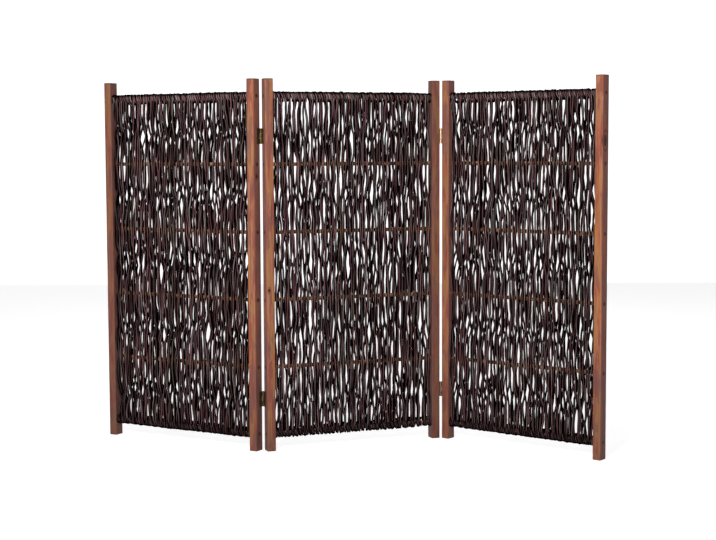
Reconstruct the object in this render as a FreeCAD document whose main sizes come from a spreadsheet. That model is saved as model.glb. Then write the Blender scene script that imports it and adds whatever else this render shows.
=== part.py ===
import FreeCAD, Part
import math
import os
import re

import Sketcher

# A folding garden screen of woven willow: three panels joined in a Z by two pairs of butt hinges.
# Each panel is two planed posts with six round rods screwed between them. Thin willow wands
# stand upright in the panel, in front of one rod and behind the next. Each wand is bent double:
# it turns over the top rod or under the bottom one, its two legs weave in opposite step, and its
# tips are tucked over the rod at the other end.
#
# Frame: millimetres, +Z up from the floor, +X along the width that the viewer sees, +Y away from
# the viewer. The origin is on the floor under the middle of the whole footprint.
# Each panel also has a frame of its own: x along the panel from its middle, y across it, z up.

DIMENSIONS = [
    # posts
    ("post_length", 1200, "floor to the top of a post"),
    ("post_width", 28, "post along the panel"),
    ("post_depth", 35, "post across the panel"),
    ("post_ease", 1.2, "bevel along a post's long edges"),
    ("panel_width", 610, "outer face to outer face of a panel's posts"),
    # rods
    ("rod_thickness", 13, "rod, across its corners"),
    ("rod_sides", 12, "flats that stand for the rod's round"),
    ("rod_count", 6, "rods in a panel"),
    ("bottom_rod_height", 55, "floor to the middle of the bottom rod"),
    ("top_rod_drop", 55, "top of the post down to the middle of the top rod"),
    # wands
    ("wands_per_panel", 30, "bent wands in a panel, two legs each"),
    ("wand_width", 7.2, "wand along the panel"),
    ("wand_depth", 4.6, "wand across the panel"),
    ("wand_clearance", 0.25, "rod to wand"),
    ("wand_margin", 1.5, "post to the first wand"),
    # hinges
    ("barrel_thickness", 5.5, "rolled barrel; also the gap between closed posts"),
    ("barrel_standoff", 1.5, "post face to the hinge axis"),
    ("leaf_thickness", 1.2, "leaf sheet"),
    ("leaf_height", 50, "leaf along the post"),
    ("leaf_reach", 20, "hinge axis to the leaf's free edge"),
    ("knuckle_gap", 0.3, "between knuckles and round them"),
    ("pin_thickness", 3, "hinge pin"),
    ("pin_clearance", 0.06, "pin to the flats of a knuckle's bore"),
    ("bore_sides", 12, "flats that stand for the bore's round"),
    ("upper_hinge_drop", 183, "top of the post down to the middle of the upper hinge"),
    ("lower_hinge_rise", 168, "floor up to the middle of the lower hinge"),
    # screws
    ("screw_sides", 6, "flats that stand for a screw's round"),
    ("rod_screw_head", 7, "head of a screw that holds a rod"),
    ("rod_screw_shank", 3.8, "shank of that screw"),
    ("rod_screw_sink", 2.2, "depth of its countersunk head"),
    ("rod_screw_bite", 25, "how far it goes into the rod"),
    ("hinge_screw_head", 5.6, "head of a hinge screw"),
    ("hinge_screw_shank", 3, "shank of a hinge screw"),
    ("hinge_screw_bite", 14, "how far it goes into the post"),
    ("hinge_screw_spread", 30, "between the two screws of a leaf"),
    ("hinge_screw_inset", 12.5, "hinge axis to the screws"),
    ("screw_clearance", 0.1, "screw to the hole in the leaf"),
    # how the screen stands: each panel's turn about Z from the viewer's left-right line
    ("left_turn", -30.5, "degrees"),
    ("centre_turn", 21.5, "degrees"),
    ("right_turn", -39, "degrees"),
]

POST_NAMES = {
    "left": ("left_outer_post", "left_hinge_post"),
    "centre": ("centre_left_post", "centre_right_post"),
    "right": ("right_hinge_post", "right_outer_post"),
}
FRONT, BACK = -1, 1
UP = FreeCAD.Vector(0, 0, 1)

doc = FreeCAD.newDocument("willow_screen")
sheet = doc.addObject("Spreadsheet::Sheet", "Dimensions")
for row, (alias, number, note) in enumerate(DIMENSIONS, start=1):
    sheet.set(f"A{row}", alias)
    sheet.set(f"B{row}", str(number))
    sheet.set(f"C{row}", note)
    sheet.setAlias(f"B{row}", alias)
doc.recompute()

ALIASES = re.compile(r"\b(" + "|".join(alias for alias, _, _ in DIMENSIONS) + r")\b")
nodes = []


def size(alias):
    """A driving dimension, as a number."""
    return float(sheet.get(alias))


def bind(thing, **formulas):
    """Ties properties to formulas in the sheet's names. A double underscore stands for a dot."""
    for name, formula in formulas.items():
        thing.setExpression(name.replace("__", "."), ALIASES.sub(r"Dimensions.\1", formula))
    return thing


def add(kind, name, **formulas):
    """A new object of the document, its sizes tied to the sheet."""
    return bind(doc.addObject(kind, name), **formulas)


def place(thing, name, placement):
    """Gives a finished sub-part its name and its place in the screen."""
    thing.Label = name
    thing.Placement = placement
    nodes.append(thing)


def shift(x=0.0, y=0.0, z=0.0, turn=0.0):
    """A move, with a turn about Z in degrees."""
    return FreeCAD.Placement(FreeCAD.Vector(x, y, z), FreeCAD.Rotation(UP, turn))


# ---- where the panels stand -------------------------------------------------------------------

# middle of a panel to its outer hinge axis, and middle of a post to the axis behind or before it
axis_out = size("panel_width") / 2 + size("barrel_thickness") / 2
axis_off = size("post_depth") / 2 + size("barrel_standoff")
post_out = (size("panel_width") - size("post_width")) / 2


def panel_frames():
    """Each panel's placement, with the two hinge axes shared and the footprint centred."""
    centre = shift(turn=size("centre_turn"))
    frames = {"centre": centre}
    for name, side, face in (("left", -1, BACK), ("right", 1, FRONT)):
        axis = centre.multVec(FreeCAD.Vector(side * axis_out, face * axis_off, 0))
        turned = shift(turn=size(f"{name}_turn"))
        axis_in_panel = turned.multVec(FreeCAD.Vector(-side * axis_out, face * axis_off, 0))
        frames[name] = FreeCAD.Placement(axis - axis_in_panel, turned.Rotation)
    wide, deep, ease = size("post_width") / 2, size("post_depth") / 2, size("post_ease")
    outline = [(x * a, y * b) for a, b in ((wide, deep - ease), (wide - ease, deep))
               for x in (-1, 1) for y in (-1, 1)]
    corners = [frame.multVec(FreeCAD.Vector(post_out * side + x, y, 0))
               for frame in frames.values() for side in (-1, 1) for x, y in outline]
    middle = shift(-(min(c.x for c in corners) + max(c.x for c in corners)) / 2,
                   -(min(c.y for c in corners) + max(c.y for c in corners)) / 2)
    return {name: middle.multiply(frame) for name, frame in frames.items()}


frames = panel_frames()
rod_levels = [size("bottom_rod_height")
              + i * (size("post_length") - size("top_rod_drop") - size("bottom_rod_height"))
              / (size("rod_count") - 1) for i in range(int(size("rod_count")))]


# ---- faceted solids ---------------------------------------------------------------------------

FLAT = 1e-6


def panes(low, high):
    """One side of a faceted solid between two rings: a flat quad, or else two triangles."""
    a, b, c, d = low[0], low[1], high[1], high[0]
    if abs((b - a).cross(d - a).dot(c - a)) < FLAT:
        return [[a, b, c, d]]
    return [[a, b, c], [a, c, d]]


def skin(rings):
    """A closed solid with flat faces through rings of as many corners each."""
    outlines = [rings[0], rings[-1]]
    for low, high in zip(rings, rings[1:]):
        for k in range(len(low)):
            n = (k + 1) % len(low)
            outlines += panes((low[k], low[n]), (high[k], high[n]))
    shell = Part.makeShell([Part.Face(Part.makePolygon(o + o[:1])) for o in outlines])
    shell.sewShape()
    solid = Part.Solid(shell)
    if solid.Volume < 0:
        solid.reverse()
    return solid


# ---- posts ------------------------------------------------------------------------------------

def origin_plane(body, role):
    return next(f for f in body.Origin.OriginFeatures if f.Role == role)


def section_sketch(body, name, width, depth):
    """A rectangle about the body's Z axis."""
    sketch = body.newObject("Sketcher::SketchObject", name)
    sketch.AttachmentSupport = (origin_plane(body, "XY_Plane"), "")
    sketch.MapMode = "FlatFace"
    corners = [FreeCAD.Vector(x * size(width) / 2, y * size(depth) / 2, 0)
               for x, y in ((-1, -1), (1, -1), (1, 1), (-1, 1))]
    for i in range(4):
        sketch.addGeometry(Part.LineSegment(corners[i], corners[(i + 1) % 4]), False)
    for i in range(4):
        sketch.addConstraint(Sketcher.Constraint("Coincident", i, 2, (i + 1) % 4, 1))
    for i in (0, 2):
        sketch.addConstraint(Sketcher.Constraint("Horizontal", i))
        sketch.addConstraint(Sketcher.Constraint("Vertical", i + 1))
    sketch.addConstraint(Sketcher.Constraint("Symmetric", 0, 1, 1, 2, -1, 1))
    for kind, edge, side in (("DistanceX", 0, width), ("DistanceY", 1, depth)):
        index = sketch.addConstraint(Sketcher.Constraint(kind, edge, 1, edge, 2, size(side)))
        bind(sketch, **{f"Constraints[{index}]": side})
    return sketch


def make_post(name, placement):
    """A post, padded up from its foot, its four long edges bevelled."""
    body = doc.addObject("PartDesign::Body", name)
    sketch = section_sketch(body, name + "_section", "post_width", "post_depth")
    pad = bind(body.newObject("PartDesign::Pad", name + "_length"), Length="post_length")
    pad.Profile = sketch
    doc.recompute()
    edges = [f"Edge{i}" for i, edge in enumerate(pad.Shape.Edges, start=1)
             if edge.BoundBox.ZLength > size("post_length") / 2]
    bevel = bind(body.newObject("PartDesign::Chamfer", name + "_bevel"), Size="post_ease")
    bevel.Base = (pad, edges)
    body.Tip = bevel
    place(body, name, placement)


for panel, frame in frames.items():
    for side, name in zip((-1, 1), POST_NAMES[panel]):
        make_post(name, frame.multiply(shift(side * post_out)))


# ---- rods -------------------------------------------------------------------------------------

along_panel = FreeCAD.Rotation(FreeCAD.Vector(0, 1, 0), 90)
rod_length = size("panel_width") - 2 * size("post_width")


def rod_name(panel, index):
    ends = {0: "bottom_rod", len(rod_levels) - 1: "top_rod"}
    return f"{panel}_{ends.get(index, f'rod_{index + 1}')}"


for panel, frame in frames.items():
    for index, level in enumerate(rod_levels):
        rod = add("Part::Prism", rod_name(panel, index), Polygon="rod_sides",
                  Circumradius="rod_thickness / 2", Height="panel_width - 2 * post_width")
        start = FreeCAD.Placement(FreeCAD.Vector(-rod_length / 2, 0, level), along_panel)
        place(rod, rod_name(panel, index), frame.multiply(start))


# ---- willow wands -----------------------------------------------------------------------------

# A turn round an end rod is half of a six-sided ring whose flats just clear the rod.
TURN_STEP = math.radians(60)
seat = size("rod_thickness") / 2 + size("wand_clearance") + size("wand_depth") / 2
turn_corner = seat / math.cos(TURN_STEP / 2)
leg_count = 2 * int(size("wands_per_panel"))
leg_pitch = (rod_length - 2 * size("wand_margin") - size("wand_width")) / (leg_count - 1)
WAND_SECTION = [(-0.5, -0.5), (0.5, -0.5), (0.0, 0.5)]


def leg(x, side_at_top):
    """A leg's points from the bottom rod to the top one, swapping sides at each rod."""
    points = []
    for index, level in enumerate(rod_levels):
        above = len(rod_levels) - 1 - index
        side = side_at_top if above % 2 == 0 else -side_at_top
        reach = turn_corner if index == 0 or above == 0 else seat
        points.append(FreeCAD.Vector(x, side * reach, level))
    return points


def past_rod(x, point, outward):
    """The next corner of the ring round an end rod, above it or below it."""
    inward = turn_corner * math.cos(TURN_STEP)
    return FreeCAD.Vector(x, math.copysign(inward, point.y),
                          point.z + outward * turn_corner * math.sin(TURN_STEP))


def wand_points(x, over_top):
    """A whole wand: tip, first leg, turn, second leg and tip."""
    first, second = leg(x, FRONT), leg(x + leg_pitch, BACK)
    if not over_top:
        first.reverse()
        second.reverse()
    turn, tuck = (1, -1) if over_top else (-1, 1)
    return ([past_rod(x, first[0], tuck)] + first
            + [past_rod(x + leg_pitch / 3, first[-1], turn),
               past_rod(x + leg_pitch * 2 / 3, second[-1], turn)]
            + second[::-1] + [past_rod(x + leg_pitch, second[0], tuck)])


def across(start, end):
    """The unit normal of a run, in the panel's cross plane."""
    run = FreeCAD.Vector(0, end.y - start.y, end.z - start.z).normalize()
    return FreeCAD.Vector(0, -run.z, run.y)


def wand_solid(points):
    """A three-sided tube along the points, mitred at each."""
    width, depth = size("wand_width"), size("wand_depth")
    rings = []
    for i, point in enumerate(points):
        before = across(points[max(i - 1, 0)], points[max(i, 1)])
        after = across(points[min(i, len(points) - 2)], points[min(i + 1, len(points) - 1)])
        mitre = (before + after).normalize()
        mitre.multiply(depth / mitre.dot(before))
        rings.append([point + FreeCAD.Vector(u * width, 0, 0) + mitre * v for u, v in WAND_SECTION])
    return skin(rings)


def make_wands(panel, frame, over_top):
    """Every other wand of a panel: those that turn over the top rod, or the rest."""
    name = f"{panel}_wands_{'over_top' if over_top else 'under_bottom'}"
    first_x = -leg_pitch * (leg_count - 1) / 2
    solids = [wand_solid(wand_points(first_x + 2 * i * leg_pitch, over_top))
              for i in range(leg_count // 2) if (i % 2 == 0) == over_top]
    wands = doc.addObject("Part::Feature", name)
    wands.Shape = Part.makeCompound(solids)
    place(wands, name, frame)


for panel, frame in frames.items():
    make_wands(panel, frame, True)
    make_wands(panel, frame, False)


# ---- screws -----------------------------------------------------------------------------------

def ring_of(x, y, z, radius):
    """The corners of a screw's section, round an axis along x, the first one straight up."""
    count = int(size("screw_sides"))
    return [FreeCAD.Vector(x, y + radius * math.sin(2 * math.pi * k / count),
                           z + radius * math.cos(2 * math.pi * k / count)) for k in range(count)]


def screw(x, y, z, way, head, shank, sink, length):
    """A countersunk wood screw driven along x, way -1 or +1, from the face that its head is in."""
    return skin([ring_of(x, y, z, head / 2), ring_of(x + way * sink, y, z, shank / 2),
                 ring_of(x + way * length, y, z, shank / 4)])


def make_screws(name, frame, solids):
    group = doc.addObject("Part::Feature", name)
    group.Shape = Part.makeCompound(solids)
    place(group, name, frame)


rod_screw_sizes = [size("rod_screw_head"), size("rod_screw_shank"), size("rod_screw_sink"),
                   size("post_width") + size("rod_screw_bite")]
for panel, frame in frames.items():
    make_screws(f"{panel}_rod_screws", frame,
                [screw(side * size("panel_width") / 2, 0, level, -side, *rod_screw_sizes)
                 for side in (-1, 1) for level in rod_levels])


# ---- hinges -----------------------------------------------------------------------------------

# In a hinge's own frame the axis is Z, the posts lie towards -y, and the leaf on the outer
# panel is at -x, with two knuckles. The leaf on the centre panel is at +x, with one between them.
# The hinge at the right-hand joint is the same one turned half round.
hinge_levels = {"upper": size("post_length") - size("upper_hinge_drop"),
                "lower": size("lower_hinge_rise")}
knuckle = size("leaf_height") / 3
OUTER_KNUCKLES = ("-leaf_height / 2", "leaf_height / 6 + knuckle_gap")
OUTER_KNUCKLE_LENGTH = "leaf_height / 3 - knuckle_gap"
CENTRE_KNUCKLES = ("-leaf_height / 6",)
CENTRE_KNUCKLE_LENGTH = "leaf_height / 3"


def screw_hole(side, up):
    """A countersunk hole through a leaf, from its inner face to the post."""
    inner, outer = size("barrel_thickness") / 2 - size("leaf_thickness"), size("barrel_thickness") / 2
    y, z = -size("hinge_screw_inset"), up * size("hinge_screw_spread") / 2
    return skin([ring_of(side * x, y, z, size(across_corners) / 2 + size("screw_clearance"))
                 for x, across_corners in ((inner, "hinge_screw_head"), (outer, "hinge_screw_shank"))])


def make_leaf(name, placement, side, starts, length):
    """A rolled leaf: a sheet, a neck to each knuckle, the knuckles, their bore and two holes."""
    sheet_x = "-barrel_thickness / 2" if side < 0 else "barrel_thickness / 2 - leaf_thickness"
    pieces = [add("Part::Box", name + "_sheet", Length="leaf_thickness", Height="leaf_height",
                  Width="leaf_reach - barrel_thickness / 2 - knuckle_gap",
                  Placement__Base__x=sheet_x, Placement__Base__y="-leaf_reach",
                  Placement__Base__z="-leaf_height / 2")]
    for i, start in enumerate(starts):
        pieces.append(add("Part::Box", f"{name}_neck_{i}", Length="leaf_thickness", Height=length,
                          Width="barrel_thickness / 2 + knuckle_gap", Placement__Base__x=sheet_x,
                          Placement__Base__y="-barrel_thickness / 2 - knuckle_gap",
                          Placement__Base__z=start))
        pieces.append(add("Part::Cylinder", f"{name}_knuckle_{i}", Radius="barrel_thickness / 2",
                          Height=length, Placement__Base__z=start))
    solid = doc.addObject("Part::MultiFuse", name + "_solid")
    solid.Shapes = pieces
    solid.Refine = True
    bore = add("Part::Prism", name + "_bore", Polygon="bore_sides",
               Circumradius="(pin_thickness / 2 + pin_clearance) / cos(180 deg / bore_sides)",
               Height="2 * leaf_height", Placement__Base__z="-leaf_height")
    holes = doc.addObject("Part::Feature", name + "_screw_holes")
    holes.Shape = Part.makeCompound([screw_hole(side, up) for up in (-1, 1)])
    cuts = doc.addObject("Part::Compound", name + "_cuts")
    cuts.Links = [bore, holes]
    leaf = doc.addObject("Part::Cut", name)
    leaf.Base = solid
    leaf.Tool = cuts
    leaf.Refine = True
    place(leaf, name, placement)


hinge_screw_sizes = [size("hinge_screw_head"), size("hinge_screw_shank"), size("leaf_thickness"),
                     size("leaf_thickness") + size("hinge_screw_bite")]


def leaf_screws(local, side):
    """The two screws of a leaf, moved with it."""
    inner_face = size("barrel_thickness") / 2 - size("leaf_thickness")
    solids = [screw(side * inner_face, -size("hinge_screw_inset"), up * size("hinge_screw_spread") / 2,
                    side, *hinge_screw_sizes) for up in (-1, 1)]
    return [solid.transformed(local.toMatrix()) for solid in solids]


centre_screws = []
for joint, side, face, turn in (("left", -1, BACK, 0), ("right", 1, FRONT, 180)):
    outer_screws = []
    for level_name, level in hinge_levels.items():
        hinge = f"{joint}_{level_name}_hinge"
        in_outer = shift(-side * axis_out, face * axis_off, level, turn)
        in_centre = shift(side * axis_out, face * axis_off, level, turn)
        make_leaf(hinge + "_outer_leaf", frames[joint].multiply(in_outer), -1,
                  OUTER_KNUCKLES, OUTER_KNUCKLE_LENGTH)
        make_leaf(hinge + "_centre_leaf", frames["centre"].multiply(in_centre), 1,
                  CENTRE_KNUCKLES, CENTRE_KNUCKLE_LENGTH)
        pin = add("Part::Cylinder", hinge + "_pin", Radius="pin_thickness / 2", Height="leaf_height")
        foot = shift(z=-size("leaf_height") / 2)
        place(pin, hinge + "_pin", frames[joint].multiply(in_outer).multiply(foot))
        outer_screws += leaf_screws(in_outer, -1)
        centre_screws += leaf_screws(in_centre, 1)
    make_screws(f"{joint}_hinge_screws", frames[joint], outer_screws)
make_screws("centre_hinge_screws", frames["centre"], centre_screws)


# ---- check and write --------------------------------------------------------------------------

doc.recompute()
for thing in doc.Objects:
    if "Invalid" in thing.State or "Error" in thing.State:
        raise RuntimeError(f"{thing.Label} could not be built: {thing.State}")
for node in nodes:
    if node.Shape.isNull() or not node.Shape.isValid() or node.Shape.Volume <= 0:
        raise RuntimeError(f"{node.Label} is not a valid solid")

os.makedirs("parts", exist_ok=True)
for node in nodes:
    node.Shape.exportStep(os.path.join("parts", node.Label + ".step"))
    print(f"{node.Label}: {len(node.Shape.Solids)} solid(s), {node.Shape.Volume / 1000:.2f} cm3")
print(len(nodes), "sub-parts;", "leg pitch", round(leg_pitch, 3), "rods at", rod_levels)
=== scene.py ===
# %% [markdown]
# # A folding willow screen
# The screen is three panels joined in a Z. Each panel has two square posts, six round rods and a
# filling of thin willow wands. The solids come ready made, at their real size, and this lesson
# dresses them: it planes the posts, turns the rods, grows the willow and finishes every surface.
#
# The first cell loads the frame. Every piece that we make later is measured from it.

# %% Load the frame
import math
import random
from types import SimpleNamespace

import bmesh
import bpy
from mathutils import Matrix, Vector


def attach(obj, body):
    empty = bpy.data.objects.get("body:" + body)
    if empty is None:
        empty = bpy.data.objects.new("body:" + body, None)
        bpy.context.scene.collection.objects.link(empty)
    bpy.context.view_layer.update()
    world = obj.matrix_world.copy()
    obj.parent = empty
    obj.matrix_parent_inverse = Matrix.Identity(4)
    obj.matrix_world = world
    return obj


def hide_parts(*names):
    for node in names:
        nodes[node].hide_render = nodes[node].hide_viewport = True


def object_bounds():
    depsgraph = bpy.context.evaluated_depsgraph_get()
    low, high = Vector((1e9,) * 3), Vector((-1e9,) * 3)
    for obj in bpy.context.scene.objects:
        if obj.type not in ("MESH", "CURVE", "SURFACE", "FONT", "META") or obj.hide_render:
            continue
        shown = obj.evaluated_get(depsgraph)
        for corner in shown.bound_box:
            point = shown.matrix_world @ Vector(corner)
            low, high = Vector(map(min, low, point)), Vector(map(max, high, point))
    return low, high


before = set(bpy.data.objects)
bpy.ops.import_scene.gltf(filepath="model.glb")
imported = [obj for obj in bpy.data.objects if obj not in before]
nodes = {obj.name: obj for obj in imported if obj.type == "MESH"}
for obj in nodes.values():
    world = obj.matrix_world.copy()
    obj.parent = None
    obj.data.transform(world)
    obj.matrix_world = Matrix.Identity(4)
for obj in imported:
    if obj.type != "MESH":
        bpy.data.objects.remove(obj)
cad_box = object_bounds()
PANELS = ("left", "centre", "right")
BODIES = {panel: f"{panel}_panel" for panel in PANELS}
print("the frame is", [round(high - low, 3) for low, high in zip(*cad_box)], "metres")

# %% [markdown]
# ## Where each panel stands
# Each panel is easiest to build lying square: x along it from its middle, y across it and z up.
# The panels stand at angles, so each needs a matrix that carries such a piece to its place. We
# could type the angles in, but the rods already know them. A rod's two ends give its direction
# and its middle, and that is all the matrix needs.

# %% Find the ends of a rod
def corners(name):
    """A node's corners, each once."""
    return [Vector(c) for c in {tuple(v.co) for v in nodes[name].data.vertices}]


def middle(points):
    return sum(points, Vector()) / len(points)


def rod_ends(name):
    """The middles of a rod's two ends, left one first."""
    points = corners(name)
    rough = max(points, key=lambda p: p.x) - min(points, key=lambda p: p.x)
    centre = middle(points)
    halves = [[p for p in points if (p - centre).dot(rough) * way > 0] for way in (-1, 1)]
    return [middle(half) for half in halves]


place = {}
for panel in PANELS:
    left_end, right_end = rod_ends(f"{panel}_top_rod")
    along = (right_end - left_end).normalized()
    across = Vector((-along.y, along.x, 0))
    centre = (left_end + right_end) / 2
    place[panel] = Matrix((
        (along.x, across.x, 0, centre.x),
        (along.y, across.y, 0, centre.y),
        (0, 0, 1, 0), (0, 0, 0, 1)))
    print(panel, "panel turned", round(math.degrees(math.atan2(along.y, along.x)), 2), "degrees")

# %% [markdown]
# The same solids also give the sizes that everything else is made to fit: how long and thick the
# rods are, at which heights they lie, and how large a post is.

# %% Measure the rods and the posts
ROD_NAMES = ["bottom_rod", "rod_2", "rod_3", "rod_4", "rod_5", "top_rod"]
ROD_LENGTH = (right_end - left_end).length
ROD_LEVELS = [middle(corners(f"left_{name}")).z for name in ROD_NAMES]
ROD_PITCH = ROD_LEVELS[1] - ROD_LEVELS[0]
ROD_RADIUS = max((p - right_end).length for p in corners("right_top_rod")
                 if (p - right_end).length < ROD_LENGTH / 2)
POST_HEIGHT = cad_box[1].z
post_corners = [place["left"].inverted() @ p for p in corners("left_outer_post")]
POST_WIDTH, POST_DEPTH = [max(p[i] for p in post_corners) - min(p[i] for p in post_corners)
                          for i in (0, 1)]
print("posts", round(POST_WIDTH, 4), "by", round(POST_DEPTH, 4))
print("rods", round(ROD_LENGTH, 4), "long and", round(ROD_PITCH, 4), "apart")

# %% [markdown]
# ## Writing node trees as sums
# Geometry Nodes and materials are both built from many small Math nodes. Placing each by hand
# makes long code that hides the formula. So we wrap an output socket in a small class whose
# plus, minus and times add the Math node for us. A formula then reads as it would on paper.

# %% A socket that can be reckoned with
class Value:
    """An output socket, with Python's own signs for sums."""

    def __init__(self, tree, socket):
        self.tree, self.socket = tree, socket

    def maths(self, operation, *others):
        node = self.tree.nodes.new("ShaderNodeMath")
        node.operation = operation
        for pin, value in zip(node.inputs, (self, *others)):
            plug(self.tree, pin, value)
        return Value(self.tree, node.outputs[0])

    def __add__(self, other):
        return self.maths("ADD", other)

    def __sub__(self, other):
        return self.maths("SUBTRACT", other)

    def __mul__(self, other):
        return self.maths("MULTIPLY", other)

    def __truediv__(self, other):
        return self.maths("DIVIDE", other)

    def __pow__(self, other):
        return self.maths("POWER", other)

    def sin(self):
        return self.maths("SINE")

    def cos(self):
        return self.maths("COSINE")

    def abs(self):
        return self.maths("ABSOLUTE")

    def sign(self):
        return self.maths("SIGN")

    def fraction(self):
        return self.maths("FRACT")

    def ramp(self, start, end, low=0.0, high=1.0):
        """Runs from low to high while this value goes from start to end, and stops there."""
        node = self.tree.nodes.new("ShaderNodeMapRange")
        for pin, value in zip(node.inputs, (self, start, end, low, high)):
            plug(self.tree, pin, value)
        return Value(self.tree, node.outputs[0])


def plug(tree, pin, value):
    """Fills an input with a number, or joins it to a socket."""
    if isinstance(value, Value):
        tree.links.new(value.socket, pin)
    elif isinstance(value, bpy.types.NodeSocket):
        tree.links.new(value, pin)
    else:
        pin.default_value = value


# %% [markdown]
# The other nodes need a name and a few inputs each. Four short helpers place them, so that the
# formulas below stay free of wiring. They serve both kinds of tree, because vectors and noise
# are the same nodes in each.

# %% Helpers for any tree
def add(tree, kind, inputs=None, **settings):
    """A new node with its settings, its inputs filled by name or number."""
    node = tree.nodes.new(kind)
    for name, setting in settings.items():
        setattr(node, name, setting)
    for name, value in (inputs or {}).items():
        plug(tree, node.inputs[name], value)
    return node


def out(tree, kind, inputs=None, output=0, **settings):
    """The same, for a node of which we want one output."""
    return Value(tree, add(tree, kind, inputs, **settings).outputs[output])


def vector(tree, x=0.0, y=0.0, z=0.0):
    return out(tree, "ShaderNodeCombineXYZ", {0: x, 1: y, 2: z})


def noise(tree, where, detail=2.0, roughness=0.5, scale=1.0):
    """Smooth noise from 0 to 1, most of it near a half."""
    return out(tree, "ShaderNodeTexNoise",
               {"Vector": where, "Scale": scale, "Detail": detail, "Roughness": roughness})


# %% [markdown]
# ## Growing a mesh with Geometry Nodes
# A tree gets named inputs, so that the same one can make six different sets of wands. We hang it
# on an empty mesh as a modifier, fill its inputs by their identifiers, read the finished mesh
# back, and keep that mesh alone. What remains is a plain object, which any program can read.

# %% Helpers for geometry trees
def geometry_tree(name, **inputs):
    """A new geometry tree, with a dictionary of its inputs."""
    tree = bpy.data.node_groups.new(name, "GeometryNodeTree")
    tree.interface.new_socket("Geometry", in_out="OUTPUT", socket_type="NodeSocketGeometry")
    for key, kind in inputs.items():
        tree.interface.new_socket(key, in_out="INPUT", socket_type=f"NodeSocket{kind}")
    entry = tree.nodes.new("NodeGroupInput")
    return tree, {key: Value(tree, entry.outputs[key]) for key in inputs}


def keep(tree, geometry, name, value):
    """Writes a value on every point, under a name that materials can read."""
    return out(tree, "GeometryNodeStoreNamedAttribute",
               {"Geometry": geometry, "Name": name, "Value": value},
               data_type="FLOAT_VECTOR", domain="POINT")


def tube(tree, curve, radius, sides):
    """Skins a curve with a round tube. The mesh keeps "around", the tube's own cosine and sine."""
    turn = out(tree, "GeometryNodeSplineParameter") * math.tau
    circle = out(tree, "GeometryNodeCurvePrimitiveCircle", {"Resolution": sides, "Radius": 1.0})
    circle = keep(tree, circle, "around", vector(tree, turn.cos(), turn.sin()))
    return out(tree, "GeometryNodeCurveToMesh", {"Curve": curve, "Profile Curve": circle,
                                                 "Scale": radius, "Fill Caps": True})


def hand_out(tree, geometry, material):
    """Ends a tree: real geometry, smooth, with its material."""
    real = out(tree, "GeometryNodeRealizeInstances", {0: geometry})
    smooth = out(tree, "GeometryNodeSetShadeSmooth", {0: real})
    dressed = out(tree, "GeometryNodeSetMaterial", {0: smooth, "Material": material})
    exit_node = tree.nodes.new("NodeGroupOutput")
    tree.links.new(dressed.socket, exit_node.inputs[0])


def grow(name, tree, matrix, **values):
    """Runs a tree with these inputs and keeps the result as a plain mesh object."""
    seedling = bpy.data.objects.new(name + "_seedling", bpy.data.meshes.new(name))
    bpy.context.scene.collection.objects.link(seedling)
    modifier = seedling.modifiers.new("grow", "NODES")
    modifier.node_group = tree
    for item in tree.interface.items_tree:
        if item.in_out == "INPUT":
            modifier[item.identifier] = values[item.name]
    graph = bpy.context.evaluated_depsgraph_get()
    mesh = bpy.data.meshes.new_from_object(seedling.evaluated_get(graph), depsgraph=graph)
    bpy.data.objects.remove(seedling)
    mesh.transform(matrix)
    piece = bpy.data.objects.new(name, mesh)
    bpy.context.scene.collection.objects.link(piece)
    print(name, "has", len(mesh.polygons), "faces")
    return piece


# %% [markdown]
# ## Helpers for finishes
# Every finish starts as one Principled shader, and colours are blended with Mix nodes. A finish
# reads where it is from a named attribute that each piece carries: its own lengthwise
# coordinates, in metres. The grain then follows the piece, whichever way the panel stands.

# %% Helpers for materials
def finish_tree(name, **settings):
    """A new material: its tree, its shader, and single values set on the shader's own sockets."""
    material = bpy.data.materials.new(name)
    material.use_nodes = True
    tree = material.node_tree
    shader = tree.nodes["Principled BSDF"]
    for key, value in settings.items():
        shader.inputs[key.replace("_", " ")].default_value = value
    return material, tree, shader


def mix(tree, share, first, second):
    """One colour blended into another by a share from 0 to 1."""
    node = add(tree, "ShaderNodeMix", data_type="RGBA")
    plug(tree, node.inputs["Factor"], share)
    for pin, colour in ((node.inputs[6], first), (node.inputs[7], second)):
        plug(tree, pin, (*colour, 1.0) if isinstance(colour, tuple) else colour)
    return Value(tree, node.outputs[2])


def bump(tree, shader, height, depth):
    """Raises the surface by height, a value from 0 to 1, times depth in metres."""
    node = add(tree, "ShaderNodeBump", {"Height": height, "Distance": depth, "Strength": 1.0})
    tree.links.new(node.outputs[0], shader.inputs["Normal"])


def own_place(tree, attribute):
    """A piece's own coordinates, split into three values."""
    source = add(tree, "ShaderNodeAttribute", attribute_name=attribute)
    split = add(tree, "ShaderNodeSeparateXYZ", {0: source.outputs["Vector"]})
    return [Value(tree, pin) for pin in split.outputs]


# %% [markdown]
# ## Wood grain
# The posts are planed softwood. Growth rings come from the distance to the tree's middle, which
# lies outside the post, so they run as long lines on the faces and as arcs on the ends, as in a
# real sawn post. The rings are never quite round, so slow noise bends them, and they are pulled
# aside where they pass a knot.
#
# All noise in the wood is long in the grain's direction. Each kind is named here once, with how
# many of its cells go to a metre across the grain and along it, its detail and its roughness.

# %% Grain and knots
WARP, SLOW_WARP = (9, 1.6, 3.0, 0.5), (3, 0.7, 1.0, 0.5)
FIBRE, STREAK, DARK_RUN = (900, 14, 3.0, 0.6), (150, 2.4, 4.0, 0.55), (220, 3.5, 3.0, 0.6)
PATCH, BLUSH = (64, 10, 3.0, 0.6), (48, 8, 3.0, 0.6)
# the tree's middle in the first post's coordinates, and how fast the rings follow, in radians
TREE_MIDDLE = (0.045, -0.03)
RING_TURNS = 1500.0


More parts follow.
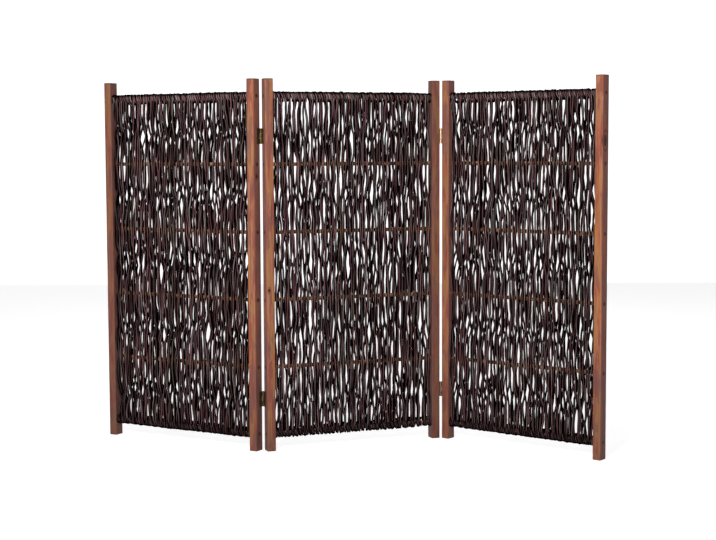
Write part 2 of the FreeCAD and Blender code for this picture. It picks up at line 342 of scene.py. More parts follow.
def wood_noise(tree, kind, aside=0.0, further=0.0):
    """Noise in the wood. The last two numbers read it elsewhere, where a kind is used twice."""
    across_grain, along_grain, detail, roughness = kind
    x, y, z = own_place(tree, "grain")
    where = vector(tree, x * across_grain + aside, y * across_grain, z * along_grain + further)
    return noise(tree, where, detail, roughness)


def growth_rings(tree, pull):
    """Waves from 0 to 1, one to a ring, pushed outwards by a knot's pull."""
    x, y, _ = own_place(tree, "grain")
    reach = ((x - TREE_MIDDLE[0]) ** 2.0 + (y - TREE_MIDDLE[1]) ** 2.0) ** 0.5
    bent = (reach * RING_TURNS + wood_noise(tree, WARP) * 16.0 + wood_noise(tree, SLOW_WARP) * 30.0
            + pull * 12.0)
    return bent.sin() * 0.5 + 0.5


def from_knot(tree):
    """How far a point is from its post's knot: 1 at the edge of the knot's dark core."""
    x, y, z = own_place(tree, "knot")
    return (x ** 2.0 + y ** 2.0 + z ** 2.0) ** 0.5


# %% [markdown]
# ## Stained wood for the posts
# Over the grain goes a thin red-brown stain, which has soaked in unevenly: some hand's breadths
# are orange, some straw, some almost mauve. The side faces are darker and more mauve than the
# fronts, partly in the stain and partly as painted shade. The sawn top ends are darker too, and the
# lower third is darker with painted shade.
#
# Two more things are put where they really are, by attributes that the post carries. A knot has
# a dark core with rings drawn round it. And rust has bled from each screw on the outer faces. We
# could scatter both by noise, but a knot in the wrong place is noticed at once. The outer faces
# also get painted shade, darker towards their back edge.

# %% The post finish
ORANGE, SALMON, STRAW = (0.47, 0.135, 0.046), (0.43, 0.195, 0.115), (0.43, 0.205, 0.068)
BRICK, MAUVE_WOOD, PLUM = (0.30, 0.080, 0.048), (0.20, 0.085, 0.080), (0.075, 0.032, 0.030)
KNOT, RUST_STAIN = (0.022, 0.008, 0.006), (0.060, 0.014, 0.008)
# how far rust has spread from a screw, and how far the end grain has drawn in the stain
SCREW_STAIN = 0.0062
DARK_END = 0.006


def stain_and_shade(tree, rings, blush):
    """The wood's own colours, the red-brown staining over them, and painted shade on the sides and
    low down.
    """
    side, tone, height = own_place(tree, "stain_and_shade")
    patch = wood_noise(tree, PATCH)
    dark_run = wood_noise(tree, DARK_RUN, aside=3.0)
    colour = mix(tree, wood_noise(tree, STREAK).ramp(0.40, 0.60), SALMON, ORANGE)
    colour = mix(tree, patch.ramp(0.51, 0.57) * 0.85, colour, STRAW)
    colour = mix(tree, patch.ramp(0.48, 0.41) * 0.90, colour, BRICK)
    colour = mix(tree, blush.ramp(0.53, 0.60) * 0.70, colour, MAUVE_WOOD)
    colour = mix(tree, dark_run.ramp(0.54, 0.66) * 0.50, colour, PLUM)
    colour = mix(tree, (rings ** 3.0) * 0.40, colour, BRICK)
    colour = mix(tree, wood_noise(tree, FIBRE).ramp(0.46, 0.74) * 0.40, colour, PLUM)
    # side faces: partly the stain's mauve, partly painted shade
    colour = mix(tree, side * (blush * 1.1 + 0.08), colour, MAUVE_WOOD)
    colour = mix(tree, tone, colour, PLUM)
    # painted shade, darker towards the bottom
    colour = mix(tree, height.ramp(0.42, 0.02) * (blush * 0.6 + 0.15), colour, PLUM)
    return mix(tree, height.ramp(POST_HEIGHT - DARK_END, POST_HEIGHT) * 0.75, colour, PLUM)


def draw_knot(tree, colour, away, pull, core):
    """A brick-red blush, thin dark rings, and the dark core."""
    colour = mix(tree, pull * 0.5, colour, BRICK)
    halo = (away * 5.5).sin() * away.ramp(2.6, 1.0)
    colour = mix(tree, halo.ramp(0.1, 0.8) * 0.7, colour, KNOT)
    return mix(tree, core, colour, KNOT)


def draw_rust_and_edge_shade(tree, colour):
    """Painted shade by the outer faces' back edge; rust round the screws on them at each rod's
    height.
    """
    aside, rods_up, outward = own_place(tree, "screw")
    # painted shade: the outer half of the post darkens towards its back edge
    colour = mix(tree, aside.ramp(0.008, POST_DEPTH / 2) * outward * 0.7, colour, PLUM)
    above = (rods_up + 0.5).fraction() - 0.5
    bled = ((aside / SCREW_STAIN) ** 2.0 + (above * (ROD_PITCH / SCREW_STAIN)) ** 2.0) ** 0.5
    uneven = bled + wood_noise(tree, STREAK) * 0.6
    return mix(tree, uneven.ramp(1.6, 1.0) * outward, colour, RUST_STAIN)


def post_finish():
    material, tree, shader = finish_tree("stained_post", Roughness=0.62, Specular_IOR_Level=0.22)
    away = from_knot(tree)
    core, pull = away.ramp(1.05, 0.70), away.ramp(3.2, 0.9)
    rings = growth_rings(tree, pull)
    blush = wood_noise(tree, BLUSH, aside=9.0, further=5.0)
    colour = stain_and_shade(tree, rings, blush)
    colour = draw_rust_and_edge_shade(tree, draw_knot(tree, colour, away, pull, core))
    tree.links.new(colour.socket, shader.inputs["Base Color"])
    bump(tree, shader, rings * 0.35 + wood_noise(tree, FIBRE) * 0.65 - core * 0.6, 0.0004)
    return material


post_wood = post_finish()
print("post finish has", len(post_wood.node_tree.nodes), "nodes")

# %% [markdown]
# ## A post as a stack of rings
# A post is a long square bar, but no planed bar has razor edges. We could bevel a cube. Instead
# we sweep a square with rounded corners up the post, so that each ring can be a hair smaller or
# larger than the last, as hand-fed timber is. The ends get a small rounding of their own.

# %% The section and the levels of the rings
EDGE_ROUND = 0.0019
EDGE_STEPS = 4
END_STEPS = 3
RING_STEP = 0.04


def section(drawn, rounding):
    """A post's section with rounded corners: points, each with 1 where it is on a side face."""
    points = []
    for corner in range(4):
        start = corner * math.pi / 2
        cx = math.copysign(POST_WIDTH / 2 - drawn - rounding, math.cos(start + math.pi / 4))
        cy = math.copysign(POST_DEPTH / 2 - drawn - rounding, math.sin(start + math.pi / 4))
        for step in range(EDGE_STEPS + 1):
            angle = start + step * math.pi / 2 / EDGE_STEPS
            points.append((cx + rounding * math.cos(angle), cy + rounding * math.sin(angle),
                           abs(math.cos(angle))))
    return points


def ring_levels():
    """Heights of the rings and how far each is drawn in, for the rounded ends."""
    turns = [step * math.pi / 2 / END_STEPS for step in range(END_STEPS + 1)]
    end = [(EDGE_ROUND * 0.5 * (1 - math.cos(turn)), EDGE_ROUND * 0.5 * (1 - math.sin(turn)))
           for turn in turns]
    count = round(POST_HEIGHT / RING_STEP)
    shaft = [(POST_HEIGHT * i / count, 0.0) for i in range(1, count)]
    return end + shaft + [(POST_HEIGHT - level, drawn) for level, drawn in reversed(end)]


print("a post has", len(ring_levels()), "rings of", len(section(0.0, EDGE_ROUND)), "points")

# %% [markdown]
# ## Planing the posts
# While the rings are made, each corner notes what the finish will ask for. "grain" is its place
# in the tree, another one for each post, so that no two have the same grain. The next says
# whether it is on a side face, how dark this post has become, and its height, for the stain and
# the painted shade. "knot" and "screw" say how far it is from the post's knot and from the nearest
# screw, and "screw" also places the painted shade on the outer faces.

# %% Build the posts
# how much a ring may differ in half its width
POST_FINE = 0.00022
# how far along the tree's x and y the next post is cut
NEXT_CUT = (0.37, 0.21)
# how far the stain has darkened each post, from left to right
TONES = (0.52, 0.08, 0.10, 0.53, 0.22, 0.06)
# one knot to a post: its middle on the face, its level, its half width and half height
KNOTS = {1: (0.004, POST_DEPTH / 2, 0.71, 0.005, 0.008),
         2: (POST_WIDTH / 2, -0.002, 0.888, 0.006, 0.008),
         3: (-0.005, -POST_DEPTH / 2, 0.523, 0.004, 0.007),
         4: (0.003, POST_DEPTH / 2, 0.36, 0.006, 0.009),
         5: (-0.004, POST_DEPTH / 2, 1.02, 0.004, 0.006),
         6: (POST_WIDTH / 2, -0.003, 0.998, 0.010, 0.022)}
POSTS = {"left": ("left_outer_post", "left_hinge_post"),
         "centre": ("centre_left_post", "centre_right_post"),
         "right": ("right_hinge_post", "right_outer_post")}
POST_OFFSET = (ROD_LENGTH + POST_WIDTH) / 2


def post_ring(build, layers, side, number, level, drawn):
    """One ring of corners, with what the finish asks for written on each."""
    knot_x, knot_y, knot_level, knot_wide, knot_tall = KNOTS[number]
    ring = []
    for x, y, sidewise in section(drawn, EDGE_ROUND):
        vert = build.verts.new((side * POST_OFFSET + x, y, level))
        vert[layers["grain"]] = (x + number * NEXT_CUT[0], y + number * NEXT_CUT[1], level)
        vert[layers["stain_and_shade"]] = (sidewise, TONES[number - 1], level)
        vert[layers["knot"]] = ((x - knot_x) / knot_wide, (y - knot_y) / knot_wide,
                                (level - knot_level) / knot_tall)
        vert[layers["screw"]] = (y, (level - ROD_LEVELS[0]) / ROD_PITCH, float(x * side > 0))
        ring.append(vert)
    return ring


def make_post(name, panel, side, number):
    dice = random.Random(number)
    build = bmesh.new()
    layers = {key: build.verts.layers.float_vector.new(key)
              for key in ("grain", "stain_and_shade", "knot", "screw")}
    rings = [post_ring(build, layers, side, number, level, drawn + POST_FINE * dice.random())
             for level, drawn in ring_levels()]
    for low, high in zip(rings, rings[1:]):
        for i in range(len(low)):
            n = (i + 1) % len(low)
            build.faces.new((low[i], low[n], high[n], high[i])).smooth = True
    build.faces.new(list(reversed(rings[0])))
    build.faces.new(rings[-1])
    mesh = bpy.data.meshes.new(name)
    build.to_mesh(mesh)
    build.free()
    mesh.transform(place[panel])
    mesh.materials.append(post_wood)
    post = bpy.data.objects.new(name + "_planed", mesh)
    bpy.context.scene.collection.objects.link(post)
    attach(post, BODIES[panel])
    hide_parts(name)


number = 0
for panel, names in POSTS.items():
    for side, name in zip((-1, 1), names):
        number += 1
        make_post(name, panel, side, number)
print(number, "posts planed")

# %% [markdown]
# ## Stained wood for the rods
# The rods are round sticks of the same wood with a darker, redder stain, and rusty where the
# willow has rubbed them. The grain is again noise that is long in the rod's direction. Round the
# rod it is read by the cosine and sine of the angle, so that it closes without a seam.

# %% The rod finish
CHESTNUT, WINE, RUST = (0.150, 0.070, 0.040), (0.040, 0.017, 0.011), (0.38, 0.200, 0.115)


def rod_finish():
    material, tree, shader = finish_tree("stained_rod", Roughness=0.55, Specular_IOR_Level=0.22)
    own, length, _ = own_place(tree, "along")
    across, up, _ = own_place(tree, "around")
    streak = noise(tree, vector(tree, across * 1.3 + own, up * 1.3, length * 5), 4.0, 0.6)
    blotch = noise(tree, vector(tree, across * 0.6 + own, up * 0.6, length * 60), 3.0)
    colour = mix(tree, streak.ramp(0.38, 0.66), CHESTNUT, WINE)
    colour = mix(tree, blotch.ramp(0.48, 0.62) * 0.8, colour, RUST)
    tree.links.new(colour.socket, shader.inputs["Base Color"])
    bump(tree, shader, streak, 0.0005)
    return material


rod_wood = rod_finish()
print("rod finish has", len(rod_wood.node_tree.nodes), "nodes")

# %% [markdown]
# ## Turning the rods
# One tree makes a rod: a straight curve, a circle swept along it, and a thickness that drifts a
# little, as a peeled stick has. It is run eighteen times with another seed and level each time.
# A cylinder would be quicker, but every rod would then be the same.

# %% Turn the rods
ROD_POINTS = 48
ROD_SIDES = 20
ROD_THINNEST = 0.93


def rod_tree():
    tree, given = geometry_tree("turned_rod", Length="Float", Radius="Float", Level="Float",
                                Seed="Float", Material="Material")
    half = given["Length"] * 0.5
    line = out(tree, "GeometryNodeCurvePrimitiveLine",
               {"Start": vector(tree, half * -1.0, 0.0, given["Level"]),
                "End": vector(tree, half, 0.0, given["Level"])})
    line = out(tree, "GeometryNodeResampleCurve", {"Curve": line, "Count": ROD_POINTS})
    factor = out(tree, "GeometryNodeSplineParameter")
    drift = noise(tree, vector(tree, factor * 5.0, given["Seed"] * 7.3), 2.0)
    radius = given["Radius"] * drift.ramp(0.3, 0.7, ROD_THINNEST, 1.0)
    line = keep(tree, line, "along", vector(tree, given["Seed"], factor * given["Length"]))
    hand_out(tree, tube(tree, line, radius, ROD_SIDES), given["Material"])
    return tree


turned_rod = rod_tree()
seed = 0.0
for panel in PANELS:
    for name, level in zip(ROD_NAMES, ROD_LEVELS):
        seed += 1.0
        rod = grow(f"{panel}_{name}_turned", turned_rod, place[panel], Length=ROD_LENGTH,
                   Radius=ROD_RADIUS, Level=level, Seed=seed, Material=rod_wood)
        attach(rod, BODIES[panel])
        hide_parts(f"{panel}_{name}")

# %% [markdown]
# ## Willow bark
# Unpeeled willow dries to a dark purple-brown with a grey bloom. The bloom is shown as a paler
# strip on the side that faces out, a painted highlight, and the bark beside it is left dark as
# painted shade, so a wand reads as a thin mauve line with near black to either side. Each wand
# carries a random number, so that no two are the same colour: most are purple, a few are greenish
# grey. Where they cross a rod they are rubbed brown. Fine noise, long in the wand's direction,
# gives the skin, and small raised marks are the bud scars.
#
# The weave is two layers deep and no light gets far into it. Ambient Occlusion tells how much
# of the sky a point sees, and where that is little the bark is painted almost black: painted shade.

# %% The willow finish
# how far Ambient Occlusion looks for what stands in the way of the light
CREVICE = 0.02
SHADE = (0.0006, 0.0003, 0.0003)
BARK, MAUVE = (0.0040, 0.0014, 0.0017), (0.230, 0.108, 0.119)
ASH, MOSS, RUBBED = (0.35, 0.29, 0.285), (0.125, 0.105, 0.070), (0.27, 0.135, 0.075)


def bark_bloom(tree, own, length, rubbed, fine):
    """The paler colour of the bark where light reaches it."""
    patch = noise(tree, vector(tree, own * 91.0, length * 9.0), 2.0)
    bloom = mix(tree, patch.ramp(0.46, 0.66), MAUVE, ASH)
    bloom = mix(tree, (own * 7.13).fraction().ramp(0.72, 0.98) * 0.8, bloom, MOSS)
    return mix(tree, rubbed * fine.ramp(0.42, 0.56) * 0.85, bloom, RUBBED)


def painted_highlight_strip(tree, own, light, rubbed, skin):
    """How much of the bloom shows: a painted highlight, a broken strip on the side that faces out."""
    _, facing, _ = own_place(tree, "facing")
    # painted highlight on the side that faces out; the bark at the wand's sides stays dark as painted
    # shade
    highlight = facing.abs().ramp(0.66, 0.99) ** 1.2
    # the band's painted light at the top and painted shade at the bottom scale the highlight
    highlight = highlight * skin.ramp(0.38, 0.58, 0.12, 1.15) * light
    highlight = highlight * (own * 3.71).fraction().ramp(0.0, 1.0, 0.35, 1.1)
    return highlight * (rubbed * 0.5 + 1.0)


def willow_finish():
    material, tree, shader = finish_tree("willow_bark", Roughness=0.5, Specular_IOR_Level=0.0)
    own, length, light = own_place(tree, "along")
    across, up, _ = own_place(tree, "around")
    rubbed, _, _ = own_place(tree, "rubbed")
    skin = noise(tree, vector(tree, across * 1.2 + own * 31.0, up * 1.2, length * 22.0), 4.0, 0.6)
    fine = noise(tree, vector(tree, across * 3.0 + own * 57.0, up * 3.0, length * 160.0), 3.0, 0.65)
    colour = mix(tree, painted_highlight_strip(tree, own, light, rubbed, skin), BARK,
                 bark_bloom(tree, own, length, rubbed, fine))
    colour = mix(tree, fine.ramp(0.60, 0.8) * 0.25, colour, ASH)
    open_sky = out(tree, "ShaderNodeAmbientOcclusion", {"Distance": CREVICE}, output=1, samples=6)
    # painted shade: the bark goes almost black where little sky is seen
    colour = mix(tree, open_sky.ramp(0.94, 0.42), colour, SHADE)
    tree.links.new(colour.socket, shader.inputs["Base Color"])
    scar = out(tree, "ShaderNodeTexVoronoi",
               {"Vector": vector(tree, across + own * 11.0, up, length * 26.0), "Scale": 1.0})
    bump(tree, shader, skin * 0.5 + fine * 0.3 + scar.ramp(0.22, 0.08) * 0.4, 0.0006)
    return material


willow = willow_finish()
print("willow finish has", len(willow.node_tree.nodes), "nodes")

# %% [markdown]
# ## Weaving the willow: laying out the wands
# A wand is bent double over the top rod, or under the bottom one. One leg starts in front, the
# other behind, and each swaps sides at every rod. So one formula draws a whole wand, tip to tip.
# We grow the wands rather than copy one, because no two real ones agree.
#
# Call u the way along the wand, from -1 at one tip to 1 at the other, with the bend at 0. The
# first function lays out as many straight lines as there are wands, and notes for every point
# which wand and which leg it is on. The second gives each wand its own thickness, which falls
# from one tip to the other and swells a little on the way.

# %% Lines and their thickness
# where on its way a leg leaves the bend and where it starts to wind, and how thin its tip is
BEND_SHARE, TUCK_SHARE, TIP_SHARE = 0.06, 0.72, 0.70
WAND_POINTS = 221
WAND_SIDES = 8


def lay_wands(tree, given):
    """Straight lines, one to a wand, with the values that tell every point where it is."""
    line = out(tree, "GeometryNodeCurvePrimitiveLine", {"End": (0.0, 0.0, 1.0)})
    line = out(tree, "GeometryNodeResampleCurve", {"Curve": line, "Count": WAND_POINTS})
    copies = add(tree, "GeometryNodeDuplicateElements", {"Geometry": line, "Amount": given["Wands"]},
                 domain="SPLINE")
    wand = SimpleNamespace(lines=Value(tree, copies.outputs[0]), place=Value(tree, copies.outputs[1]))
    wand.u = out(tree, "GeometryNodeSplineParameter") * 2.0 - 1.0
    wand.leg = (wand.u + 0.0001).sign()
    wand.way = wand.u.abs()
    wand.own = out(tree, "ShaderNodeTexWhiteNoise", {"W": wand.place * 1.37 + given["Seed"]},
                   noise_dimensions="1D")
    wand.leg_id = (wand.place * 2.0 + wand.leg * 0.5) * 5.31 + given["Seed"] * 11.7
    return wand


def thicken(tree, given, wand):
    """Half the wand's thickness at each point."""
    swell = noise(tree, vector(tree, wand.leg_id * 3.1, wand.way * 9.0), 2.0)
    wand.radius = (given["Thickness"] * 0.5 * wand.own.ramp(0.0, 1.0, 0.84, 1.14)
                   * wand.u.ramp(-1.0, 1.0, 1.10, 0.88) * swell.ramp(0.3, 0.7, 0.95, 1.06)
                   * wand.way.ramp(TUCK_SHARE, 1.0, 1.0, TIP_SHARE))


# %% [markdown]
# ## The path round the rods
# Near the bend the wand goes a quarter turn round the rod to each side. Then each leg runs
# straight down while its depth follows a cosine, which is one swap for each rod, some a little
# late and some early. At the far rod the tip winds two and a half times round it and moves a
# step along with each turn. The turns of all the wands together make the plaited band at the
# panel's edge. We could model the band by itself, but then its strands would end nowhere.
#
# Where two legs cross, half way between rods, they lie side by side. Beside a rod one is in front
# and one behind. A few legs lie over others, so each gets a layer of its own.

# %% Round the rods and down the panel
# how far a tip winds round the far rod, its step along for each turn, and its height over the legs
TUCK = math.radians(900)
TUCK_STEP = 0.026
TUCK_RISE = 0.0056
TIGHT, SLACK = 0.88, 1.2
# how late or early a leg may swap sides, and the gap between a wand and the wood
LATE = 0.045
WAND_GAP = 0.0003
# over this share of the way the layers open beyond the bend, and close before the tip winds
FADE = 0.06


def seat_on_rod(tree, given, wand):
    """The distance from the rod's middle to the wand's, which grows with each layer."""
    layer = out(tree, "ShaderNodeTexWhiteNoise", {"W": wand.leg_id}, noise_dimensions="1D")
    between_ends = (wand.way.ramp(BEND_SHARE, BEND_SHARE + FADE)
                    * wand.way.ramp(TUCK_SHARE, TUCK_SHARE - FADE))
    return (wand.radius + (ROD_RADIUS + WAND_GAP) + layer * given["Layers"] * between_ends
            + wand.tuck.ramp(0.0, math.pi) * layer.ramp(0.0, 1.0, 0.6, 1.0) * TUCK_RISE)


def wind(tree, given, wand):
    """The wand's depth and its rise above the panel's middle."""
    wand.turn = wand.way.ramp(0.0, BEND_SHARE, 0.0, math.pi / 2)
    wand.tuck = wand.way.ramp(TUCK_SHARE, 1.0, 0.0, TUCK)
    seat = seat_on_rod(tree, given, wand)
    height = given["Top"] - given["Bottom"]
    wand.down = wand.way.ramp(BEND_SHARE, TUCK_SHARE, 0.0, 1.0) * height
    late = noise(tree, vector(tree, wand.leg_id * 0.9, wand.down * 3.0), 0.0)
    late = late.ramp(0.25, 0.75, -LATE, LATE)
    swap = ((wand.down + late) * (math.pi / ROD_PITCH)).cos() * 1.35
    wand.swap = (swap.ramp(-1.0, 1.0, -1.0, 1.0) * (math.pi / 2)).sin()
    wand.depth = wand.leg * seat * wand.turn.sin() * wand.swap * wand.tuck.cos()
    # a loop is drawn tight over the rod's outer side and hangs slack on the inner one
    sine = wand.tuck.sin()
    loop = sine.ramp(-1.0, 0.0, -SLACK, 0.0) + sine.ramp(0.0, 1.0, 0.0, TIGHT)
    wand.rise = height * 0.5 + seat * wand.turn.cos() - wand.down - seat * loop


# %% [markdown]
# ## Leaning, and what the bark must know
# A leg is free to lean over its neighbours, and that opens the slits of light. The lean is a slow
# noise which is strongest at the rods. To it come a slow drift of the whole leg and a fine
# wobble, and some stretches of the panel are woven looser than others, so that the slits stand
# in clusters.
#
# Last, each point stores what the bark's finish will read: its wand's random number, how far
# along it is, the painted light on the top band and painted shade on the bottom band, and how
# near it is to a rod.

# %% Lean, light and rubbing
# rubbing starts this far from a rod's middle, and is full this near to it
RUB_FAR, RUB_NEAR = 0.015, 0.006
# how much painted shade darkens the band round the bottom rod, and painted light brightens the top
# one
BAND_SHADE, BAND_LIGHT = -0.45, 0.95


def lean_aside(tree, given, wand):
    """The wand's place along the panel, with its lean, and kept between the posts."""
    lean = noise(tree, vector(tree, wand.leg_id, wand.down * 10.0), 1.0)
    lean = (lean.ramp(0.38, 0.62, -1.0, 1.0) * (math.pi / 2)).sin()
    drift = noise(tree, vector(tree, wand.leg_id * 1.7, wand.down * 3.2 + 9.0), 0.0)
    drift = drift.ramp(0.25, 0.75, -1.0, 1.0)
    wobble = noise(tree, vector(tree, wand.leg_id * 2.3, wand.down * 34.0 + 40.0), 1.0)
    wobble = wobble.ramp(0.2, 0.8, -1.0, 1.0)
    x = given["First"] + (wand.place * 4.0 + wand.leg * wand.turn.sin() * 0.5) * given["Pitch"]
    loose = noise(tree, vector(tree, x * 9.0 + given["Batch"] * 13.0, wand.z * 12.0), 2.0)
    loose = loose.ramp(0.36, 0.62, 0.45, 1.30)
    sway = ((wand.swap.abs() * 0.40 + 0.60) * loose * lean * given["Lean"] + drift * given["Drift"]
            + wobble * given["Wobble"])
    x = x + sway * wand.turn.sin() + wand.tuck * wand.leg * (TUCK_STEP / math.tau)
    limit = (wand.radius * -1.0) + ROD_LENGTH / 2 - WAND_GAP
    return x.maths("MINIMUM", limit).maths("MAXIMUM", limit * -1.0)


def note_for_bark(tree, given, wand):
    """Stores "along" and "rubbed", with painted light on the top band and painted shade on the
    bottom.
    """
    banded = (wand.way.ramp(TUCK_SHARE - 0.01, TUCK_SHARE)
              + wand.way.ramp(BEND_SHARE + 0.01, BEND_SHARE))
    # painted light on the top band, painted shade on the bottom band
    light = banded * wand.z.ramp(given["Bottom"], given["Top"], BAND_SHADE, BAND_LIGHT) + 1.0
    steps = (wand.z - given["Bottom"]) / ROD_PITCH + 0.5
    from_rod = (steps.fraction() - 0.5).abs() * ROD_PITCH
    rubbed = from_rod.ramp(RUB_FAR, RUB_NEAR) * banded.ramp(0.0, 1.0, 1.0, 0.0)
    wand.lines = keep(tree, wand.lines, "along", vector(tree, wand.own, wand.u, light))
    wand.lines = keep(tree, wand.lines, "rubbed", vector(tree, rubbed))


# %% [markdown]
# ## The tree as a whole
# The tree now reads as a list of steps: lay out, thicken, wind, lean, note, and skin. Mirror
# turns a set of wands upside down, for those that are bent under the bottom rod.

# %% The willow tree
def willow_tree():
    tree, given = geometry_tree(
        "woven_willow", Wands="Int", First="Float", Pitch="Float", Mirror="Float", Top="Float",
        Bottom="Float", Thickness="Float", Lean="Float", Drift="Float", Wobble="Float",
        Layers="Float", Batch="Float", Seed="Float", Material="Material")
    wand = lay_wands(tree, given)
    thicken(tree, given, wand)
    wind(tree, given, wand)
    wand.z = (given["Top"] + given["Bottom"]) * 0.5 + wand.rise * given["Mirror"]
    spot = vector(tree, lean_aside(tree, given, wand), wand.depth * given["Mirror"], wand.z)
    wand.lines = out(tree, "GeometryNodeSetCurveRadius",
                     {"Curve": wand.lines, "Radius": wand.radius})
    note_for_bark(tree, given, wand)
    path = out(tree, "GeometryNodeSetPosition", {"Geometry": wand.lines, "Position": spot})
    skin = tube(tree, path, out(tree, "GeometryNodeInputRadius"), WAND_SIDES)
    skin = keep(tree, skin, "facing", out(tree, "GeometryNodeInputNormal"))
    hand_out(tree, skin, given["Material"])
    return tree


woven_willow = willow_tree()
print("willow tree has", len(woven_willow.nodes), "nodes")

# %% [markdown]
# ## Weaving the panels
# Half of the wands turn over the top rod and the other half under the bottom one, by turns
# along the panel. Each half is a piece of its own, and the second is the first upside down.

# %% Weave the panels
WANDS = 60
WAND_THICKNESS = 0.0067
LEG_PITCH = (ROD_LENGTH - 1.5 * WAND_THICKNESS) / (2 * WANDS - 1)
# how far the legs lean, drift and wobble to the side, and how far their layers open, in metres
LEAN, DRIFT, WOBBLE, LAYERS = 0.0032, 0.0038, 0.0007, 0.0025
for number, panel in enumerate(PANELS):
    for half, mirror, kind in ((0, 1.0, "over_top"), (1, -1.0, "under_bottom")):
        first = -ROD_LENGTH / 2 + WAND_THICKNESS * 0.75 + LEG_PITCH * (0.5 + 2 * half)
        wands = grow(f"{panel}_willow_{kind}", woven_willow, place[panel], Wands=WANDS // 2,
                     First=first, Pitch=LEG_PITCH, Mirror=mirror, Top=ROD_LEVELS[-1],
                     Bottom=ROD_LEVELS[0], Thickness=WAND_THICKNESS, Lean=LEAN, Drift=DRIFT,
                     Wobble=WOBBLE, Layers=LAYERS, Batch=number * 1.0,
                     Seed=number * 40.0 + half * 17.0, Material=willow)
        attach(wands, BODIES[panel])
        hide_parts(f"{panel}_wands_{kind}")

# %% [markdown]
# ## Metal
# The hinges are zinc-plated sheet. On the left junction they stand in the shadow between the
# posts, and their dark olive brown is painted shade. The upper right one has kept its pale yellow
# plating, and the one below it is half way. The screws are blackened steel, dull with rust, so
# that they read as dark dots in the wood and in the leaves.
#
# These pieces are the solids themselves. They are small and their shape is right already, so
# they only get a finish, which reads their own coordinates and turns with them on the hinge.

# %% The metal finishes
# for each hinge: its clean colour, its stained colour and its roughness
# the left pair's dark colours are painted shade, for the shadow between the posts
METALS = {"left_upper": ((0.140, 0.098, 0.036), (0.055, 0.032, 0.015), 0.55),
          "left_lower": ((0.130, 0.088, 0.036), (0.050, 0.028, 0.014), 0.55),
          "right_upper": ((0.74, 0.62, 0.38), (0.34, 0.24, 0.12), 0.42),
          "right_lower": ((0.26, 0.15, 0.105), (0.10, 0.050, 0.036), 0.50)}


def metal_finish(name, clean, stained, roughness, metallic):
    material, tree, shader = finish_tree(name, Metallic=metallic, Roughness=roughness)
    spot = add(tree, "ShaderNodeTexCoord").outputs["Object"]
    patch = noise(tree, spot, 4.0, 0.6, scale=140.0)
    colour = mix(tree, patch.ramp(0.46, 0.66), clean, stained)
    tree.links.new(colour.socket, shader.inputs["Base Color"])
    bump(tree, shader, noise(tree, spot, scale=900.0), 0.0001)
    return material


def refinish(node, material):
    node.data.materials.clear()
    node.data.materials.append(material)


hinge_metals = {hinge: metal_finish(f"{hinge}_hinge_metal", clean, stained, roughness, 1.0)
                for hinge, (clean, stained, roughness) in METALS.items()}
black_steel = metal_finish("black_steel", (0.020, 0.014, 0.012), (0.040, 0.016, 0.009), 0.7, 0.3)
for name, node in nodes.items():
    if name.endswith(("_leaf", "_pin")):
        refinish(node, hinge_metals[name.split("_hinge")[0]])
    elif name.endswith("_screws"):
        refinish(node, black_steel)
print(len(hinge_metals), "hinges finished, and the screws")

# %% [markdown]
# ## The stage
# The stage is a pale floor with a pale wall far behind it. The wall and the floor answer the
# camera with a brightness of their own, and so they do to what sees them in a gloss. The lamps
# then needn't be turned up to make them white, and the floor still takes the screen's shadow.

# %% Floor and wall
FAR = 14.0
WALL_Y = 6.0
PALE = (0.50, 0.50, 0.50)
FLOOR_GLOW, WALL_GLOW = 0.78, 1.0


def backdrop_seen(tree):
    """1 for the rays by which the camera, a gloss or a glass sees the backdrop, and else 0."""
    path = add(tree, "ShaderNodeLightPath")
    seen = Value(tree, path.outputs["Is Camera Ray"])
    for other in ("Is Glossy Ray", "Is Transmission Ray"):
        seen = seen.maths("MAXIMUM", path.outputs[other])
    return seen


def stage_finish(name, glow):
    """A matt surface which also shows a plain brightness of its own to the camera and to gloss."""
    material, tree, shader = finish_tree(name, Roughness=0.9, Base_Color=(*PALE, 1.0))
    shader.inputs["Emission Color"].default_value = (1.0, 1.0, 1.0, 1.0)
    tree.links.new((backdrop_seen(tree) * glow).socket, shader.inputs["Emission Strength"])
    return material


def stage_sheet(name, sheet_corners, glow):
    mesh = bpy.data.meshes.new(name)
    mesh.from_pydata(sheet_corners, [], [(0, 1, 2, 3)])
    mesh.materials.append(stage_finish(f"pale_{name}", glow))
    thing = bpy.data.objects.new(name, mesh)
    bpy.context.scene.collection.objects.link(thing)


stage_sheet("floor", [(-FAR, -FAR, 0), (FAR, -FAR, 0), (FAR, WALL_Y, 0), (-FAR, WALL_Y, 0)],
            FLOOR_GLOW)
stage_sheet("wall", [(-FAR, WALL_Y, 0), (FAR, WALL_Y, 0), (FAR, WALL_Y, FAR), (-FAR, WALL_Y, FAR)],
            WALL_GLOW)
print("floor and wall reach", FAR, "metres to each side")

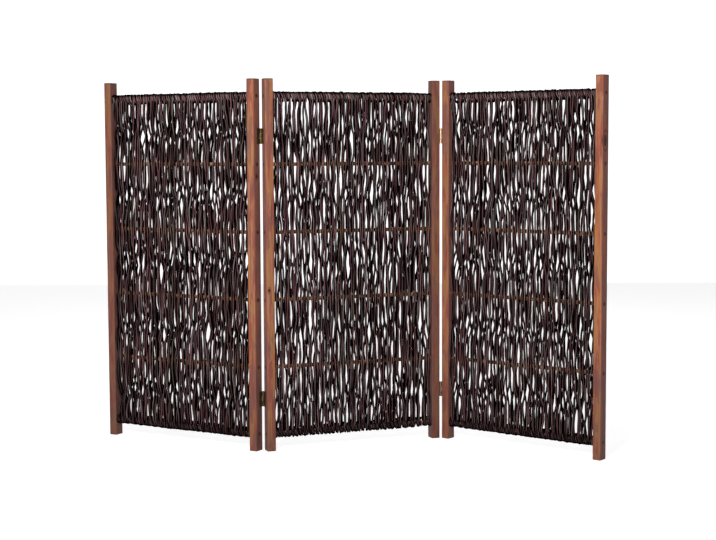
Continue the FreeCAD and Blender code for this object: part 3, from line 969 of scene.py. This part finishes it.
# %% [markdown]
# ## Light
# A soft lamp from the upper left does most of the work. It shows the posts' faces and leaves
# their sides darker. A dim one from the right keeps those sides from going black, and one from
# behind lights the back. The world adds a little from all around, but looks white.

# %% Lamps and world
LOOK_AT = (0, 0, 0.6)
SKY_LIGHT = 0.07


def lamp(name, at, size, power):
    light = bpy.data.lights.new(name, "AREA")
    light.shape, light.size, light.energy = "DISK", size, power
    thing = bpy.data.objects.new(name, light)
    thing.location = at
    thing.rotation_mode = "QUATERNION"
    thing.rotation_quaternion = (Vector(LOOK_AT) - Vector(at)).to_track_quat("-Z", "Y")
    bpy.context.scene.collection.objects.link(thing)


lamp("key", (-1.3, -4.6, 2.7), 0.9, 270)
lamp("fill", (3.2, -3.4, 1.6), 2.4, 4)
lamp("rim", (0.6, 3.0, 3.4), 2.0, 60)
world = bpy.data.worlds.new("soft_sky")
bpy.context.scene.world = world
world.use_nodes = True
sky = world.node_tree.nodes["Background"]
sky.inputs["Color"].default_value = (1.0, 1.0, 1.0, 1.0)
world.node_tree.links.new(backdrop_seen(world.node_tree).ramp(0.0, 1.0, SKY_LIGHT, 1.0).socket,
                          sky.inputs["Strength"])
print("three lamps and a soft sky")

# %% [markdown]
# ## The camera
# The camera stands almost five metres in front of the screen, at about four fifths of the posts'
# height, and looks down slightly. A long lens from far away keeps the posts nearly upright.

# %% Camera
CAMERA_AT = (0.0397, -4.880, 0.973)
CAMERA_TILT = math.radians(4.59)
CAMERA_ROLL = math.radians(-0.226)
CAMERA_LENS = 75.44
camera = bpy.data.objects.new("camera", bpy.data.cameras.new("camera"))
camera.data.lens = CAMERA_LENS
camera.rotation_mode = "QUATERNION"
camera.location = CAMERA_AT
camera.rotation_quaternion = (Matrix.Rotation(math.pi / 2 - CAMERA_TILT, 3, "X")
                              @ Matrix.Rotation(CAMERA_ROLL, 3, "Z")).to_quaternion()
bpy.context.scene.collection.objects.link(camera)
bpy.context.scene.camera = camera
bpy.context.scene.view_settings.view_transform = "Standard"
print("camera", round(Vector(CAMERA_AT).length, 2), "metres from the frame's origin")
